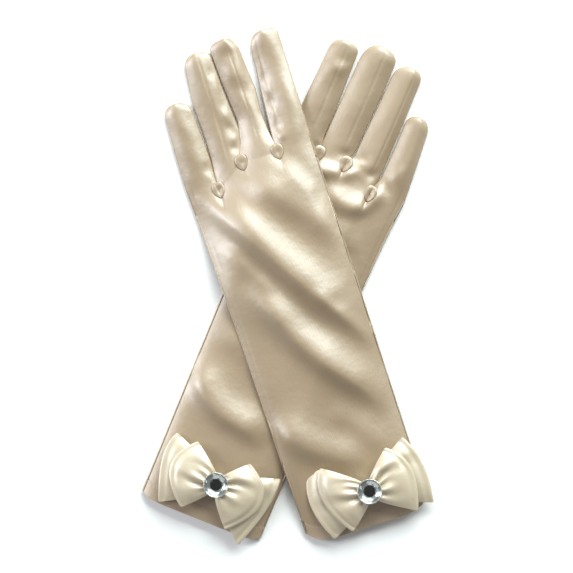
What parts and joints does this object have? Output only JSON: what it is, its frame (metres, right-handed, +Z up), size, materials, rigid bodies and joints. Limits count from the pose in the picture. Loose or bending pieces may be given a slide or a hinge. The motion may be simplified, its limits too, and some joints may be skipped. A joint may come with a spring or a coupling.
{
  "type": "opera gloves",
  "caption": "Crossed pair of long satin opera gloves lying palm down, each with a double bow and a round faceted stone at its cuff.",
  "frame": {"origin": "middle of the underside of the pair's box, on the surface it lies on", "axes": "+Y towards the fingertips, +X towards the right glove's fingertips and the left glove's cuff, +Z up"},
  "size_m": [0.185, 0.3264, 0.0205],
  "materials": {
    "champagne_satin": "satin weave, soft broad sheen",
    "ivory_satin": "satin weave, brighter sheen",
    "ivory_thread": "spun thread",
    "silvered_foil": "mirror foil",
    "clear_acrylic": "faceted and polished"
  },
  "bodies": {
    "left_glove": {"left_back": "champagne_satin", "left_bow_stitches": "ivory_thread", "left_bow_wrap": "ivory_satin", "left_cuff_hem": "champagne_satin", "left_index_middle_quirk": "champagne_satin", "left_large_bow": "ivory_satin", "left_middle_ring_quirk": "champagne_satin", "left_palm": "champagne_satin", "left_ring_little_quirk": "champagne_satin", "left_small_bow": "ivory_satin", "left_stone": "clear_acrylic", "left_stone_cup": "silvered_foil", "left_thumb": "champagne_satin"},
    "left_index_finger": {"left_index_finger_back": "champagne_satin", "left_index_finger_front": "champagne_satin", "left_index_fourchette_little_side": "champagne_satin"},
    "left_little_finger": {"left_little_finger_back": "champagne_satin", "left_little_finger_front": "champagne_satin", "left_little_fourchette_thumb_side": "champagne_satin"},
    "left_middle_finger": {"left_middle_finger_back": "champagne_satin", "left_middle_finger_front": "champagne_satin", "left_middle_fourchette_little_side": "champagne_satin", "left_middle_fourchette_thumb_side": "champagne_satin"},
    "left_ring_finger": {"left_ring_finger_back": "champagne_satin", "left_ring_finger_front": "champagne_satin", "left_ring_fourchette_little_side": "champagne_satin", "left_ring_fourchette_thumb_side": "champagne_satin"},
    "right_glove": {"right_back": "champagne_satin", "right_bow_stitches": "ivory_thread", "right_bow_wrap": "ivory_satin", "right_cuff_hem": "champagne_satin", "right_index_fourchette_little_side_lower": "champagne_satin", "right_index_middle_quirk": "champagne_satin", "right_large_bow": "ivory_satin", "right_middle_ring_quirk": "champagne_satin", "right_palm": "champagne_satin", "right_ring_little_quirk": "champagne_satin", "right_small_bow": "ivory_satin", "right_stone": "clear_acrylic", "right_stone_cup": "silvered_foil", "right_thumb": "champagne_satin"},
    "right_index_finger": {"right_index_finger_back": "champagne_satin", "right_index_finger_front": "champagne_satin", "right_index_fourchette_little_side": "champagne_satin"},
    "right_little_finger": {"right_little_finger_back": "champagne_satin", "right_little_finger_front": "champagne_satin", "right_little_fourchette_thumb_side": "champagne_satin"},
    "right_middle_finger": {"right_middle_finger_back": "champagne_satin", "right_middle_finger_front": "champagne_satin", "right_middle_fourchette_little_side": "champagne_satin", "right_middle_fourchette_thumb_side": "champagne_satin"},
    "right_ring_finger": {"right_ring_finger_back": "champagne_satin", "right_ring_finger_front": "champagne_satin", "right_ring_fourchette_little_side": "champagne_satin", "right_ring_fourchette_thumb_side": "champagne_satin"}
  },
  "joints": [
    {"name": "left_glove_lift", "type": "slide", "parent": "right_glove", "child": "left_glove", "axis": [0, 0, 1], "range_m": [0, 0.1]},
    {"name": "right_index_bend", "type": "hinge", "parent": "right_glove", "child": "right_index_finger", "pos_m": [0.01818, 0.11103, 0.0069], "axis": [0.9178, -0.3971, 0], "range_deg": [0, 75]},
    {"name": "right_middle_bend", "type": "hinge", "parent": "right_glove", "child": "right_middle_finger", "pos_m": [0.02925, 0.07907, 0.00726], "axis": [0.9191, -0.3939, 0], "range_deg": [0, 75]},
    {"name": "right_ring_bend", "type": "hinge", "parent": "right_glove", "child": "right_ring_finger", "pos_m": [0.04916, 0.06779, 0.00738], "axis": [0.9135, -0.4067, 0], "range_deg": [0, 75]},
    {"name": "right_little_bend", "type": "hinge", "parent": "right_glove", "child": "right_little_finger", "pos_m": [0.06545, 0.0515, 0.0069], "axis": [0.9421, -0.3355, 0], "range_deg": [0, 75]},
    {"name": "left_index_bend", "type": "hinge", "parent": "left_glove", "child": "left_index_finger", "pos_m": [0.0065, 0.09062, 0.01454], "axis": [0.9542, 0.299, 0], "range_deg": [0, 75]},
    {"name": "left_middle_bend", "type": "hinge", "parent": "left_glove", "child": "left_middle_finger", "pos_m": [-0.01564, 0.08451, 0.01142], "axis": [0.9483, 0.3173, 0], "range_deg": [0, 75]},
    {"name": "left_ring_bend", "type": "hinge", "parent": "left_glove", "child": "left_ring_finger", "pos_m": [-0.0362, 0.07472, 0.00753], "axis": [0.9578, 0.2874, 0], "range_deg": [0, 75]},
    {"name": "left_little_bend", "type": "hinge", "parent": "left_glove", "child": "left_little_finger", "pos_m": [-0.05383, 0.05957, 0.0069], "axis": [0.9537, 0.3007, 0], "range_deg": [0, 75]}
  ]
}
